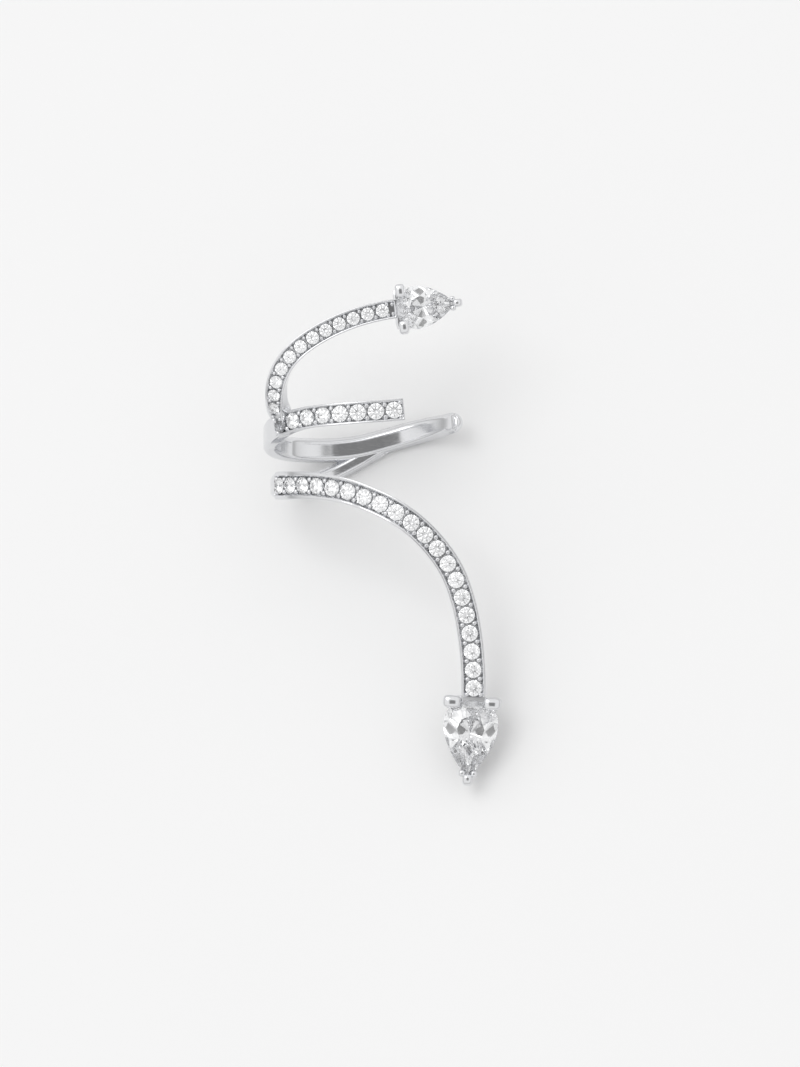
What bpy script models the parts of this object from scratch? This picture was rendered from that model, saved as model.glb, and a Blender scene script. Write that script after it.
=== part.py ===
"""Ear cuff in one piece of polished white metal: a C-shaped ear clip, two pave arms and two pear stones.

The cuff is laid out as seen from its front, in millimetres: across is to the right, up is up and forward
is toward the viewer, from the middle of the ear clip. At the end it is laid down on its back, in metres.
"""

import math
from collections import namedtuple

import bmesh
import bpy
import numpy as np
from mathutils import Matrix, Vector

MM = 0.001

# Named sizes, in millimetres: half the clip, how far its front and back lie out, and how high each rail is
CLIP_HALF_WIDE = 7.55
CLIP_FRONT_DEEP = 5.45
CLIP_BACK_DEEP = 4.85
CLIP_HIGH = 1.54
LOWER_ARM_HIGH = 22.05
UPPER_ARM_HIGH = 9.14

PAVE_WIDE = 1.66
PAVE_DEEP = 1.35
SMALL_WIDE = 1.46
SMALL_DEEP = 1.25
BAND_WIDE = 1.85
BAND_DEEP = 1.02
ARM_WIDE = 1.84
ARM_DEEP = 1.35
STRIP_WIDE = 1.30
STRIP_DEEP = 0.95
EDGE_BREAK = 0.13
WALL_DRAFT = 0.12
STEP_ALONG = 0.62

ROUND_STONE_WIDE = 1.22
SMALL_STONE_WIDE = 0.96
STONE_GAP = 0.13
SMALL_GAP = 0.14
STONE_CLEARANCE = 0.035
TABLE_ABOVE = 0.10
SEAT_TOP = 0.80
FACETS_ROUND = 16
CLIP_ROW_START = 0.76
CLIP_ROW_END = 0.32
LOW_ROW_START = 0.70
LOW_ROW_CLEARANCE = 0.19
TOP_ROW_START = 0.36
TOP_ROW_END = 0.87

# Share of a stone's width: table width, crown height and pavilion depth
TABLE_SHARE = 0.58
CROWN_SHARE = 0.15
PAVILION_SHARE = 0.43

# The pear stones and their settings. The settings' sizes are the lower one's: the upper one is smaller
LOWER_PEAR_LONG = 6.00
LOWER_PEAR_WIDE = 4.10
UPPER_PEAR_LONG = 4.55
UPPER_PEAR_WIDE = 3.24
PEAR_CLEARANCE = 0.05
CLAW_WIDE = 1.30
CLAW_LONG = 0.94
CLAW_RISE = 0.70
CLAW_OUT = 0.24
POINT_CLAW_WIDE = 0.76
POINT_CLAW_LONG = 0.56
POINT_ARM_WIDE = 1.36
POINT_ARM_BACK = 0.56
COLLAR_DEEP = 1.12
COLLAR_BACK = 0.12
COLLAR_TOP = 0.22
GALLERY_TOP = 1.15
GALLERY_BOTTOM = 2.05

# Shares of the girdle's outline: the gallery's outside and inside, and the collar's half length of the width
PEAR_FACETS = 24
PEAR_MIDDLE = 0.10
GALLERY_OUTER = 0.84
GALLERY_INNER = 0.46
SHOULDER_OUT = 0.47

# A place on the middle of a rail's outer face: across as a share of the clip's reach, up as a share of
# the rail's rise, and forward as a share of the clip's front, or of its back where it is behind the middle.
# turn is the way that the face looks, in degrees: 0 is forward, -90 is to the left and -180 is backward
Station = namedtuple("Station", "across up forward turn wide deep")

CLIP = (
    Station(0.4106, 1.0000, 0.9945, 2, PAVE_WIDE, PAVE_DEEP),
    Station(0.2384, 0.9221, 1.0055, 0, PAVE_WIDE, PAVE_DEEP),
    Station(0.0000, 0.8506, 1.0000, -4, PAVE_WIDE, PAVE_DEEP),
    Station(-0.2384, 0.7662, 0.9505, -13, PAVE_WIDE, PAVE_DEEP),
    Station(-0.4768, 0.6623, 0.8257, -27, PAVE_WIDE, PAVE_DEEP),
    Station(-0.6887, 0.4805, 0.6349, -38, PAVE_WIDE, PAVE_DEEP),
    Station(-0.8609, 0.2208, 0.3945, -52, PAVE_WIDE, PAVE_DEEP),
    Station(-0.9735, -0.1299, 0.1193, -72, BAND_WIDE, 1.176 * BAND_DEEP),
    Station(-1.0000, -0.4026, -0.1856, -94, BAND_WIDE, BAND_DEEP),
    Station(-0.9404, -0.6818, -0.4845, -118, BAND_WIDE, BAND_DEEP),
    Station(-0.8079, -0.8442, -0.7423, -142, BAND_WIDE, BAND_DEEP),
    Station(-0.6093, -0.9221, -0.9072, -160, BAND_WIDE, BAND_DEEP),
    Station(-0.3444, -0.9351, -0.9794, -172, BAND_WIDE, BAND_DEEP),
    Station(-0.0530, -0.7922, -1.0000, -179, BAND_WIDE, BAND_DEEP),
    Station(0.2384, -0.4416, -1.0000, -182, BAND_WIDE, BAND_DEEP),
    Station(0.5033, -0.0909, -0.9485, -192, BAND_WIDE, BAND_DEEP),
    Station(0.7152, 0.1558, -0.7938, -208, 0.876 * BAND_WIDE, BAND_DEEP),
    Station(0.8675, 0.3182, -0.5773, -226, 0.757 * BAND_WIDE, 0.961 * BAND_DEEP),
    Station(0.9642, 0.4156, -0.3505, -240, 0.659 * BAND_WIDE, 0.902 * BAND_DEEP),
    Station(0.9907, 0.4416, -0.2763, -244, 0.465 * BAND_WIDE, 0.647 * BAND_DEEP),
)

LOWER_ARM = (
    Station(0.3444, -0.0272, -0.9113, -184, 0.598 * ARM_WIDE, 0.311 * ARM_DEEP),
    Station(0.1854, -0.0544, -0.9732, -182, STRIP_WIDE, STRIP_DEEP),
    Station(0.0132, -0.0884, -1.0144, -180, STRIP_WIDE, STRIP_DEEP),
    Station(-0.1987, -0.1270, -1.0206, -176, STRIP_WIDE, STRIP_DEEP),
    Station(-0.4238, -0.1596, -0.9794, -166, STRIP_WIDE, STRIP_DEEP),
    Station(-0.6358, -0.1814, -0.8660, -150, STRIP_WIDE, STRIP_DEEP),
    Station(-0.8079, -0.1905, -0.6495, -128, 0.788 * ARM_WIDE, STRIP_DEEP),
    Station(-0.9086, -0.1914, -0.3505, -104, 0.728 * ARM_WIDE, STRIP_DEEP),
    Station(-0.9298, -0.1900, -0.0206, -84, 0.848 * ARM_WIDE, 0.778 * ARM_DEEP),
    Station(-0.8901, -0.1891, 0.2477, -66, 1.098 * ARM_WIDE, ARM_DEEP),
    Station(-0.7550, -0.1887, 0.5413, -50, 1.141 * ARM_WIDE, ARM_DEEP),
    Station(-0.5894, -0.1887, 0.7706, -40, 1.114 * ARM_WIDE, ARM_DEEP),
    Station(-0.3841, -0.1941, 0.9725, -28, 1.076 * ARM_WIDE, ARM_DEEP),
    Station(-0.1589, -0.2095, 1.1376, -18, 1.043 * ARM_WIDE, ARM_DEEP),
    Station(0.0795, -0.2385, 1.2569, -9, ARM_WIDE, ARM_DEEP),
    Station(0.2980, -0.2744, 1.3303, -3, ARM_WIDE, ARM_DEEP),
    Station(0.5099, -0.3243, 1.3670, 0, ARM_WIDE, ARM_DEEP),
    Station(0.7086, -0.3923, 1.3761, 2, ARM_WIDE, ARM_DEEP),
    Station(0.8768, -0.4762, 1.3615, 3, ARM_WIDE, ARM_DEEP),
    Station(0.9934, -0.5828, 1.3358, 3, ARM_WIDE, ARM_DEEP),
    Station(1.0623, -0.7052, 1.3028, 2, ARM_WIDE, ARM_DEEP),
    Station(1.0940, -0.8435, 1.2661, 1, ARM_WIDE, ARM_DEEP),
    Station(1.0940, -0.9116, 1.2440, 0, ARM_WIDE, 1.630 * ARM_DEEP),
    Station(1.0914, -0.9410, 1.2330, 0, ARM_WIDE, 1.889 * ARM_DEEP),
)

UPPER_ARM = (
    Station(-0.8278, 0.0219, 0.3578, -50, 0.753 * SMALL_WIDE, 0.680 * SMALL_DEEP),
    Station(-0.8742, 0.1039, 0.4954, -38, 1.027 * SMALL_WIDE, SMALL_DEEP),
    Station(-0.8901, 0.1915, 0.6147, -28, SMALL_WIDE, SMALL_DEEP),
    Station(-0.8874, 0.2899, 0.7156, -20, SMALL_WIDE, SMALL_DEEP),
    Station(-0.8583, 0.4103, 0.8073, -13, SMALL_WIDE, SMALL_DEEP),
    Station(-0.7881, 0.5306, 0.8716, -8, SMALL_WIDE, SMALL_DEEP),
    Station(-0.6689, 0.6455, 0.9174, -5, SMALL_WIDE, SMALL_DEEP),
    Station(-0.5166, 0.7418, 0.9450, -3, SMALL_WIDE, SMALL_DEEP),
    Station(-0.3179, 0.8337, 0.9688, -2, SMALL_WIDE, SMALL_DEEP),
    Station(-0.0927, 0.9103, 0.9835, 0, SMALL_WIDE, SMALL_DEEP),
    Station(0.1457, 0.9650, 0.9945, 0, SMALL_WIDE, SMALL_DEEP),
    Station(0.2914, 0.9869, 1.0000, 0, SMALL_WIDE, 1.680 * SMALL_DEEP),
    Station(0.4040, 0.9978, 1.0000, 0, SMALL_WIDE, 1.960 * SMALL_DEEP),
)

# A row of stones on a rail of that rise: from start beyond station number first to end beyond station
# number last, as many stones as have room with that gap, spread evenly
StoneRow = namedtuple("StoneRow", "name rail rise first start last end gap size")

LOW_ROW_END = -ROUND_STONE_WIDE / 2 - LOW_ROW_CLEARANCE

STONE_ROWS = (
    StoneRow("clip_stone", CLIP, CLIP_HIGH, 0, CLIP_ROW_START, 6, -CLIP_ROW_END, STONE_GAP, ROUND_STONE_WIDE),
    StoneRow(
        "lower_arm_stone", LOWER_ARM, LOWER_ARM_HIGH, 9, LOW_ROW_START, 22, LOW_ROW_END,
        STONE_GAP, ROUND_STONE_WIDE,
    ),
    StoneRow(
        "upper_arm_stone", UPPER_ARM, UPPER_ARM_HIGH, 10, TOP_ROW_START, 1, TOP_ROW_END,
        SMALL_GAP, SMALL_STONE_WIDE,
    ),
)

# A pear stone: the middle of its round end in the same shares, with the rise that up follows, the way its
# point looks (degrees from across, counted toward up), its length and width, and how far round from
# straight behind its shoulder claws stand (degrees)
Pear = namedtuple("Pear", "name across up forward rise point_way long wide claw_turn")

PEARS = (
    Pear("lower_pear_stone", 1.0675, -1, 1.2147, LOWER_ARM_HIGH, -93.5, LOWER_PEAR_LONG, LOWER_PEAR_WIDE, 42),
    Pear("upper_pear_stone", 0.5391, 1, 1, UPPER_ARM_HIGH, 6.5, UPPER_PEAR_LONG, UPPER_PEAR_WIDE, 50),
)


def clear_scene():
    for old in list(bpy.data.objects):
        bpy.data.objects.remove(old, do_unlink=True)


def unit(rows):
    return rows / np.linalg.norm(rows, axis=-1, keepdims=True)


def scaled(shares, rise):
    """Places in millimetres from shares of the clip's reach, of a rise, and of the clip's front or back."""
    shares = np.asarray(shares, float)
    depth = np.where(shares[..., 2] > 0, CLIP_FRONT_DEEP, CLIP_BACK_DEEP)
    return np.stack([shares[..., 0] * CLIP_HALF_WIDE, shares[..., 1] * rise, shares[..., 2] * depth], axis=-1)


def spline(knots, values, at):
    """A smooth curve through the values: a cubic between each two knots, with matching slopes."""
    knots = np.asarray(knots, float)
    values = np.asarray(values, float)
    gaps = np.diff(knots)
    rises = np.diff(values, axis=0) / gaps[:, None]
    slopes = np.empty_like(values)
    slopes[0] = rises[0]
    slopes[-1] = rises[-1]
    before = gaps[:-1, None]
    after = gaps[1:, None]
    slopes[1:-1] = (rises[:-1] * after + rises[1:] * before) / (before + after)
    index = np.clip(np.searchsorted(knots, at, side="right") - 1, 0, len(gaps) - 1)
    part = ((at - knots[index]) / gaps[index])[:, None]
    gap = gaps[index][:, None]
    low = values[index]
    high = values[index + 1]
    left = slopes[index] * gap
    right = slopes[index + 1] * gap
    cube = part**3
    square = part**2
    return (
        (2 * cube - 3 * square + 1) * low
        + (cube - 2 * square + part) * left
        + (3 * square - 2 * cube) * high
        + (cube - square) * right
    )


class Rail:
    """A bar that follows its table of stations. at() gives places, frames and sizes along its face."""

    def __init__(self, stations, rise):
        table = np.array(stations, float)
        table[:, :3] = scaled(table[:, :3], rise)
        chords = np.linalg.norm(np.diff(table[:, :3], axis=0), axis=1)
        self.knots = np.concatenate(([0.0], np.cumsum(chords)))
        self.table = table
        self.length = self.knots[-1]

    def at(self, along):
        along = np.atleast_1d(np.asarray(along, float))
        row = spline(self.knots, self.table, along)
        step = 1e-3
        ahead = spline(self.knots, self.table[:, :3], along + step)
        behind = spline(self.knots, self.table[:, :3], along - step)
        forward = unit(ahead - behind)
        turn = np.radians(row[:, 3])
        looks = np.stack([np.sin(turn), 0 * turn, np.cos(turn)], axis=1)
        looks = unit(looks - forward * np.sum(looks * forward, axis=1, keepdims=True))
        side = np.cross(forward, looks)
        return row[:, :3], forward, looks, side, row[:, 4], row[:, 5]


def bar_outline(wide, deep):
    """The rail's section as (side, depth) pairs: a flat face, broken edges, drafted walls, a rounded back."""
    half = wide / 2
    narrow = half - WALL_DRAFT
    edge = EDGE_BREAK
    back = 0.28 * deep
    return (
        (-half + edge, 0.0),
        (half - edge, 0.0),
        (half, -edge),
        (half - 0.4 * WALL_DRAFT, -0.55 * deep),
        (narrow, -deep + back),
        (narrow - 0.80 * back, -deep),
        (-narrow + 0.80 * back, -deep),
        (-narrow, -deep + back),
        (-half + 0.4 * WALL_DRAFT, -0.55 * deep),
        (-half, -edge),
    )


def mesh_object(name, points, faces):
    mesh = bpy.data.meshes.new(name)
    mesh.from_pydata([tuple(p) for p in points], [], faces)
    mesh.validate()
    built = bmesh.new()
    built.from_mesh(mesh)
    bmesh.ops.recalc_face_normals(built, faces=built.faces)
    if built.calc_volume(signed=True) < 0:
        bmesh.ops.reverse_faces(built, faces=built.faces)
    bmesh.ops.triangulate(built, faces=built.faces)
    built.to_mesh(mesh)
    built.free()
    result = bpy.data.objects.new(name, mesh)
    bpy.context.collection.objects.link(result)
    return result


def ring_faces(rings, around):
    """Side faces between rings of equal length, with the first and last ring closed."""
    faces = []
    for ring in range(rings - 1):
        for spot in range(around):
            low = ring * around + spot
            low_next = ring * around + (spot + 1) % around
            faces.append((low, low_next, low_next + around, low + around))
    faces.append(tuple(range(around))[::-1])
    faces.append(tuple((rings - 1) * around + spot for spot in range(around)))
    return faces


def rail_object(name, stations, rise):
    rail = Rail(stations, rise)
    count = int(round(rail.length / STEP_ALONG)) + 1
    along = np.linspace(0, rail.length, count)
    places, _, looks, side, wide, deep = rail.at(along)
    points = []
    for row in range(count):
        for across, depth in bar_outline(wide[row], deep[row]):
            points.append(places[row] + side[row] * across + looks[row] * depth)
    around = len(bar_outline(1.0, 1.0))
    return mesh_object(name, points, ring_faces(count, around))


def round_stone(size, grow, above):
    """A brilliant of the given width, as points and faces about its girdle; grow makes it larger all round.

    With above set, the girdle goes straight up that far instead of closing to a table: a seat cutter.
    """
    angles = 2 * math.pi * np.arange(FACETS_ROUND) / FACETS_ROUND
    reach = size / 2 + grow
    rim = np.stack([np.cos(angles), np.sin(angles)], axis=1) * reach
    deep = PAVILION_SHARE * size + 1.3 * grow
    edge = 0.02 * size + grow
    points = [(x, y, -edge) for x, y in rim]
    points.append((0.0, 0.0, -deep - edge))
    culet = FACETS_ROUND
    faces = [(spot, culet, (spot + 1) % FACETS_ROUND) for spot in range(FACETS_ROUND)]
    if above:
        top = len(points)
        points.extend((x, y, above) for x, y in rim)
        for spot in range(FACETS_ROUND):
            after = (spot + 1) % FACETS_ROUND
            faces.append((spot, after, top + after, top + spot))
        faces.append(tuple(top + spot for spot in range(FACETS_ROUND)))
        return points, faces
    half = FACETS_ROUND // 2
    girdle = len(points)
    points.extend((x, y, edge) for x, y in rim)
    for spot in range(FACETS_ROUND):
        after = (spot + 1) % FACETS_ROUND
        faces.append((spot, after, girdle + after, girdle + spot))
    table = len(points)
    for corner in range(half):
        angle = 2 * math.pi * (corner + 0.5) / half
        out = TABLE_SHARE * size / 2
        points.append((out * math.cos(angle), out * math.sin(angle), edge + CROWN_SHARE * size))
    for corner in range(half):
        first = girdle + 2 * corner
        middle = girdle + (2 * corner + 1) % FACETS_ROUND
        last = girdle + (2 * corner + 2) % FACETS_ROUND
        here = table + corner
        after = table + (corner + 1) % half
        faces.append((first, middle, here))
        faces.append((middle, last, here))
        faces.append((last, after, here))
    faces.append(tuple(table + corner for corner in range(half)))
    return points, faces


def pear_outline(long, wide, grow):
    """The girdle of a pear: round at the back, its sides closing to a point. Its length lies along x."""
    reach = wide / 2
    tail = long - reach
    spots = []
    half = PEAR_FACETS // 2
    for step in range(half + 1):
        share = step / half
        if share <= 0.5:
            angle = math.pi * (1 - share)
            spots.append((reach * math.cos(angle), reach * math.sin(angle)))
        else:
            way = 2 * (share - 0.5)
            spots.append((tail * way, reach * (1 - way**1.75)))
    lower = [(x, -y) for x, y in spots[1:-1]]
    outline = np.array(spots[::-1] + lower)
    if grow:
        middle = np.array([PEAR_MIDDLE * long, 0.0])
        outline = middle + (outline - middle) * (1 + 2 * grow / wide)
    return outline


def pear_stone(long, wide, grow, above):
    """A pear-shaped brilliant about its girdle, or with above set the seat that it is set into."""
    outline = pear_outline(long, wide, grow)
    around = len(outline)
    middle = np.array([PEAR_MIDDLE * long, 0.0])
    edge = 0.015 * wide + grow
    deep = PAVILION_SHARE * wide + 1.2 * grow
    points = [(x, y, -edge) for x, y in outline]
    points.append((middle[0], middle[1], -deep - edge))
    faces = [(spot, around, (spot + 1) % around) for spot in range(around)]
    top = len(points)
    points.extend((x, y, edge) for x, y in outline)
    for spot in range(around):
        after = (spot + 1) % around
        faces.append((spot, after, top + after, top + spot))
    table = len(points)
    inner = middle + (outline[::2] - middle) * TABLE_SHARE
    rise = edge + CROWN_SHARE * wide
    points.extend((x, y, rise) for x, y in inner)
    half = len(inner)
    for corner in range(half):
        first = top + 2 * corner
        middle_spot = top + (2 * corner + 1) % around
        last = top + (2 * corner + 2) % around
        here = table + corner
        after = table + (corner + 1) % half
        faces.append((first, middle_spot, here))
        faces.append((middle_spot, after, here))
        faces.append((middle_spot, last, after))
    faces.append(tuple(table + corner for corner in range(half)))
    return points, faces


def placed(points, place, along, side, looks):
    """Points about a stone's girdle, carried to where it is set."""
    local = np.array(points, float)
    return place + local[:, :1] * along + local[:, 1:2] * side + local[:, 2:] * looks


def stone_spots(row):
    """Where a row's stones are set: girdle middle and the three ways of its frame."""
    rail = Rail(row.rail, row.rise)
    start = rail.knots[row.first] + row.start
    end = rail.knots[row.last] + row.end
    count = int(abs(end - start) / (row.size + row.gap)) + 1
    along = np.linspace(start, end, count)
    places, forward, looks, side, _, _ = rail.at(along)
    drop = CROWN_SHARE * row.size - TABLE_ABOVE
    return places - looks * drop, forward, side, looks


def pear_frame(pear):
    way = math.radians(pear.point_way)
    along = np.array([math.cos(way), math.sin(way), 0.0])
    looks = np.array([0.0, 0.0, 1.0])
    side = np.cross(looks, along)
    return scaled((pear.across, pear.up, pear.forward), pear.rise), along, side, looks


def setting_share(pear):
    """How large a pear's setting is, as a share of the lower one's."""
    return pear.wide / LOWER_PEAR_WIDE


def gallery(pear):
    """The ring under a pear stone that joins its claws."""
    place, along, side, looks = pear_frame(pear)
    outline = pear_outline(pear.long, pear.wide, 0.0)
    middle = np.array([PEAR_MIDDLE * pear.long, 0.0])
    size = setting_share(pear)
    levels = (
        (GALLERY_OUTER, -GALLERY_TOP * size),
        (GALLERY_OUTER - 0.10, -GALLERY_BOTTOM * size),
        (GALLERY_INNER, -GALLERY_BOTTOM * size),
        (GALLERY_INNER + 0.10, -GALLERY_TOP * size),
    )
    points = []
    for share, height in levels:
        ring = middle + (outline - middle) * share
        points.extend((x, y, height) for x, y in ring)
    around = len(outline)
    faces = []
    for level in range(4):
        for spot in range(around):
            after = (spot + 1) % around
            here = level * around
            upper = ((level + 1) % 4) * around
            faces.append((here + spot, here + after, upper + after, upper + spot))
    return mesh_object("gallery", placed(points, place, along, side, looks), faces)


def block(pear, levels, section):
    """A block that stands beside the stone: its section, moved to each level's (along, side), scaled by the
    level's share and set at its height."""
    place, along, side, looks = pear_frame(pear)
    points = []
    for middle_along, middle_side, share, height in levels:
        for x, y in section:
            points.append((middle_along + share * x, middle_side + share * y, height))
    return mesh_object("claw", placed(points, place, along, side, looks), ring_faces(len(levels), len(section)))


def shoulder_claw(pear, hand):
    """A square claw at a shoulder of the round end, from the gallery up and over the edge of the crown."""
    size = setting_share(pear)
    way = math.radians(180 - hand * pear.claw_turn)
    reach = pear.wide / 2 + CLAW_OUT * size
    x = reach * math.cos(way)
    y = reach * math.sin(way)
    half_long = CLAW_LONG / 2 * size
    half_wide = CLAW_WIDE / 2 * size
    section = (
        (-half_long, -0.62 * half_wide),
        (-half_long, 0.62 * half_wide),
        (-0.62 * half_long, half_wide),
        (0.62 * half_long, half_wide),
        (half_long, 0.62 * half_wide),
        (half_long, -0.62 * half_wide),
        (0.62 * half_long, -half_wide),
        (-0.62 * half_long, -half_wide),
    )
    levels = (
        (0.66 * x, 0.66 * y, 0.80, -GALLERY_BOTTOM * size),
        (0.74 * x, 0.74 * y, 0.84, -GALLERY_TOP * size),
        (0.98 * x, 0.98 * y, 0.96, -0.30 * GALLERY_TOP * size),
        (x, y, 1.0, 0.14 * CLAW_RISE * size),
        (0.985 * x, 0.985 * y, 0.96, 0.72 * CLAW_RISE * size),
        (0.96 * x, 0.96 * y, 0.74, CLAW_RISE * size),
    )
    return block(pear, levels, section)


def point_claw(pear):
    """The claw over the point: a nub beyond it, with two arms that lie along the stone's edges."""
    size = setting_share(pear)
    tail = pear.long - pear.wide / 2
    half_nub = POINT_CLAW_WIDE / 2 * size
    half_arm = POINT_ARM_WIDE / 2 * size
    back = POINT_ARM_BACK * size
    nub = POINT_CLAW_LONG * size
    section = (
        (-back, -half_arm),
        (-0.5 * back, -0.98 * half_arm),
        (0.0, -1.05 * half_nub),
        (0.75 * nub, -0.92 * half_nub),
        (nub, -0.50 * half_nub),
        (nub, 0.50 * half_nub),
        (0.75 * nub, 0.92 * half_nub),
        (0.0, 1.05 * half_nub),
        (-0.5 * back, 0.98 * half_arm),
        (-back, half_arm),
    )
    levels = (
        (0.80 * tail, 0.0, 0.72, -GALLERY_BOTTOM * size),
        (0.84 * tail, 0.0, 0.78, -GALLERY_TOP * size),
        (0.97 * tail, 0.0, 0.94, -0.30 * GALLERY_TOP * size),
        (tail, 0.0, 1.0, 0.10 * CLAW_RISE * size),
        (tail, 0.0, 0.92, 0.55 * CLAW_RISE * size),
        (0.985 * tail, 0.0, 0.66, 0.82 * CLAW_RISE * size),
    )
    return block(pear, levels, section)


def collar(pear):
    """A straight bar behind the round end, from shoulder claw to shoulder claw, that the arm runs into."""
    size = setting_share(pear)
    back = -pear.wide / 2 - COLLAR_BACK
    front = back + COLLAR_DEEP * size
    half = SHOULDER_OUT * pear.wide
    middle = (back + front) / 2
    section = ((back, -half), (front, -half), (front, half), (back, half))
    section = tuple((x - middle, y) for x, y in section)
    levels = ((middle + 0.10 * size, 0.0, 0.66, -GALLERY_BOTTOM * size), (middle, 0.0, 1.0, -COLLAR_TOP * size))
    return block(pear, levels, section)


def combine(base, others, operation):
    """Adds the other solids to the base or cuts them out of it, exactly and one after another."""
    for other in others:
        change = base.modifiers.new("combine", "BOOLEAN")
        change.operation = operation
        change.solver = "EXACT"
        change.object = other
        bake(base)
        bpy.data.objects.remove(other, do_unlink=True)


def bake(target):
    """Writes the target's modifiers into its mesh."""
    bpy.context.view_layer.update()
    graph = bpy.context.evaluated_depsgraph_get()
    finished = bpy.data.meshes.new_from_object(target.evaluated_get(graph))
    target.modifiers.clear()
    target.data = finished


def tidy(target):
    """Welds points that coincide and removes slivers, so that the surface is one closed skin."""
    built = bmesh.new()
    built.from_mesh(target.data)
    bmesh.ops.remove_doubles(built, verts=built.verts, dist=2e-6)
    bmesh.ops.dissolve_degenerate(built, edges=built.edges, dist=2e-6)
    bmesh.ops.triangulate(built, faces=built.faces)
    built.to_mesh(target.data)
    built.free()


def lay_down(objects, frame):
    """Turns the whole cuff onto its back and puts it on the floor, with its long side along Y.

    The floor is the side of the cuff's hull that lies under its centre of weight, at the back.
    """
    weight = bmesh.new()
    weight.from_mesh(frame.data)
    total = 0.0
    centre = Vector((0, 0, 0))
    for face in weight.faces:
        a, b, c = (corner.co for corner in face.verts)
        part = a.dot(b.cross(c)) / 6
        total += part
        centre += part * (a + b + c) / 4
    centre /= total
    hull = bmesh.ops.convex_hull(weight, input=weight.verts)
    drop = [v for v in hull["geom_interior"] if isinstance(v, bmesh.types.BMVert)]
    bmesh.ops.delete(weight, geom=drop, context="VERTS")
    bmesh.ops.recalc_face_normals(weight, faces=weight.faces)
    best = None
    for face in weight.faces:
        outward = face.normal
        if outward.z > -0.5 or outward.y > 0.1:
            continue
        corners = [corner.co for corner in face.verts]
        middle = face.calc_center_median()
        foot = centre - outward * (centre - middle).dot(outward)
        margin = min(
            (foot - a).dot((b - a).cross(outward)) / -(b - a).length
            for a, b in zip(corners, corners[1:] + corners[:1])
        )
        if best is None or margin > best[0]:
            best = (margin, outward.copy())
    weight.free()
    up = -best[1]
    far = Vector((0, 1, 0))
    far = (far - up * far.dot(up)).normalized()
    right = far.cross(up)
    turn = Matrix((right, far, up)).to_4x4()
    low = Vector((math.inf,) * 3)
    high = Vector((-math.inf,) * 3)
    for thing in objects:
        thing.data.transform(turn)
        for corner in thing.data.vertices:
            low = Vector(map(min, low, corner.co))
            high = Vector(map(max, high, corner.co))
    shift = Matrix.Translation((-(low.x + high.x) / 2, -(low.y + high.y) / 2, -low.z))
    for thing in objects:
        thing.data.transform(shift)
    return shift @ turn


def finish(thing, colour, metallic, roughness, glass):
    material = bpy.data.materials.new(thing.name + "_surface")
    material.use_nodes = True
    shader = material.node_tree.nodes["Principled BSDF"]
    shader.inputs["Base Color"].default_value = colour
    shader.inputs["Metallic"].default_value = metallic
    shader.inputs["Roughness"].default_value = roughness
    shader.inputs["Transmission Weight"].default_value = glass
    thing.data.materials.clear()
    thing.data.materials.append(material)


def main():
    clear_scene()
    frame = rail_object("cuff_frame", CLIP, CLIP_HIGH)
    arms = [rail_object("arm", LOWER_ARM, LOWER_ARM_HIGH), rail_object("arm", UPPER_ARM, UPPER_ARM_HIGH)]
    settings = []
    for pear in PEARS:
        settings.append(gallery(pear))
        settings.append(collar(pear))
        settings.extend([shoulder_claw(pear, -1), shoulder_claw(pear, 1), point_claw(pear)])
    combine(frame, arms + settings, "UNION")

    stones = []
    seats = []
    for row in STONE_ROWS:
        places, along, side, looks = stone_spots(row)
        stone_points, stone_faces = round_stone(row.size, 0.0, 0.0)
        seat_points, seat_faces = round_stone(row.size, STONE_CLEARANCE, SEAT_TOP)
        for number in range(len(places)):
            spot = (places[number], along[number], side[number], looks[number])
            name = f"{row.name}_{number + 1:02d}"
            stones.append(mesh_object(name, placed(stone_points, *spot), stone_faces))
            seats.append(mesh_object("seat", placed(seat_points, *spot), seat_faces))
    for pear in PEARS:
        spot = pear_frame(pear)
        points, faces = pear_stone(pear.long, pear.wide, 0.0, 0.0)
        stones.append(mesh_object(pear.name, placed(points, *spot), faces))
        points, faces = pear_stone(pear.long, pear.wide, PEAR_CLEARANCE, 0.0)
        seats.append(mesh_object("seat", placed(points, *spot), faces))
    combine(frame, seats, "DIFFERENCE")

    everything = [frame] + stones
    for thing in everything:
        thing.data.transform(Matrix.Scale(MM, 4))
    tidy(frame)
    frame.name = "cuff_frame"
    lay_down(everything, frame)
    finish(frame, (0.80, 0.81, 0.83, 1.0), 1.0, 0.12, 0.0)
    for stone in stones:
        finish(stone, (0.95, 0.97, 1.0, 1.0), 0.0, 0.02, 0.9)
    frame.data.shade_smooth()
    frame.data.set_sharp_from_angle(angle=math.radians(32))


main()
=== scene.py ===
"""Dresses the ear cuff: smooth bright-cut metal, bead-set stones, claw settings, and the stage it lies on."""

import math
from collections import namedtuple

import bpy
import numpy as np
from bpy.props import FloatProperty, FloatVectorProperty, IntProperty, PointerProperty
from mathutils import Matrix, Vector


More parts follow.
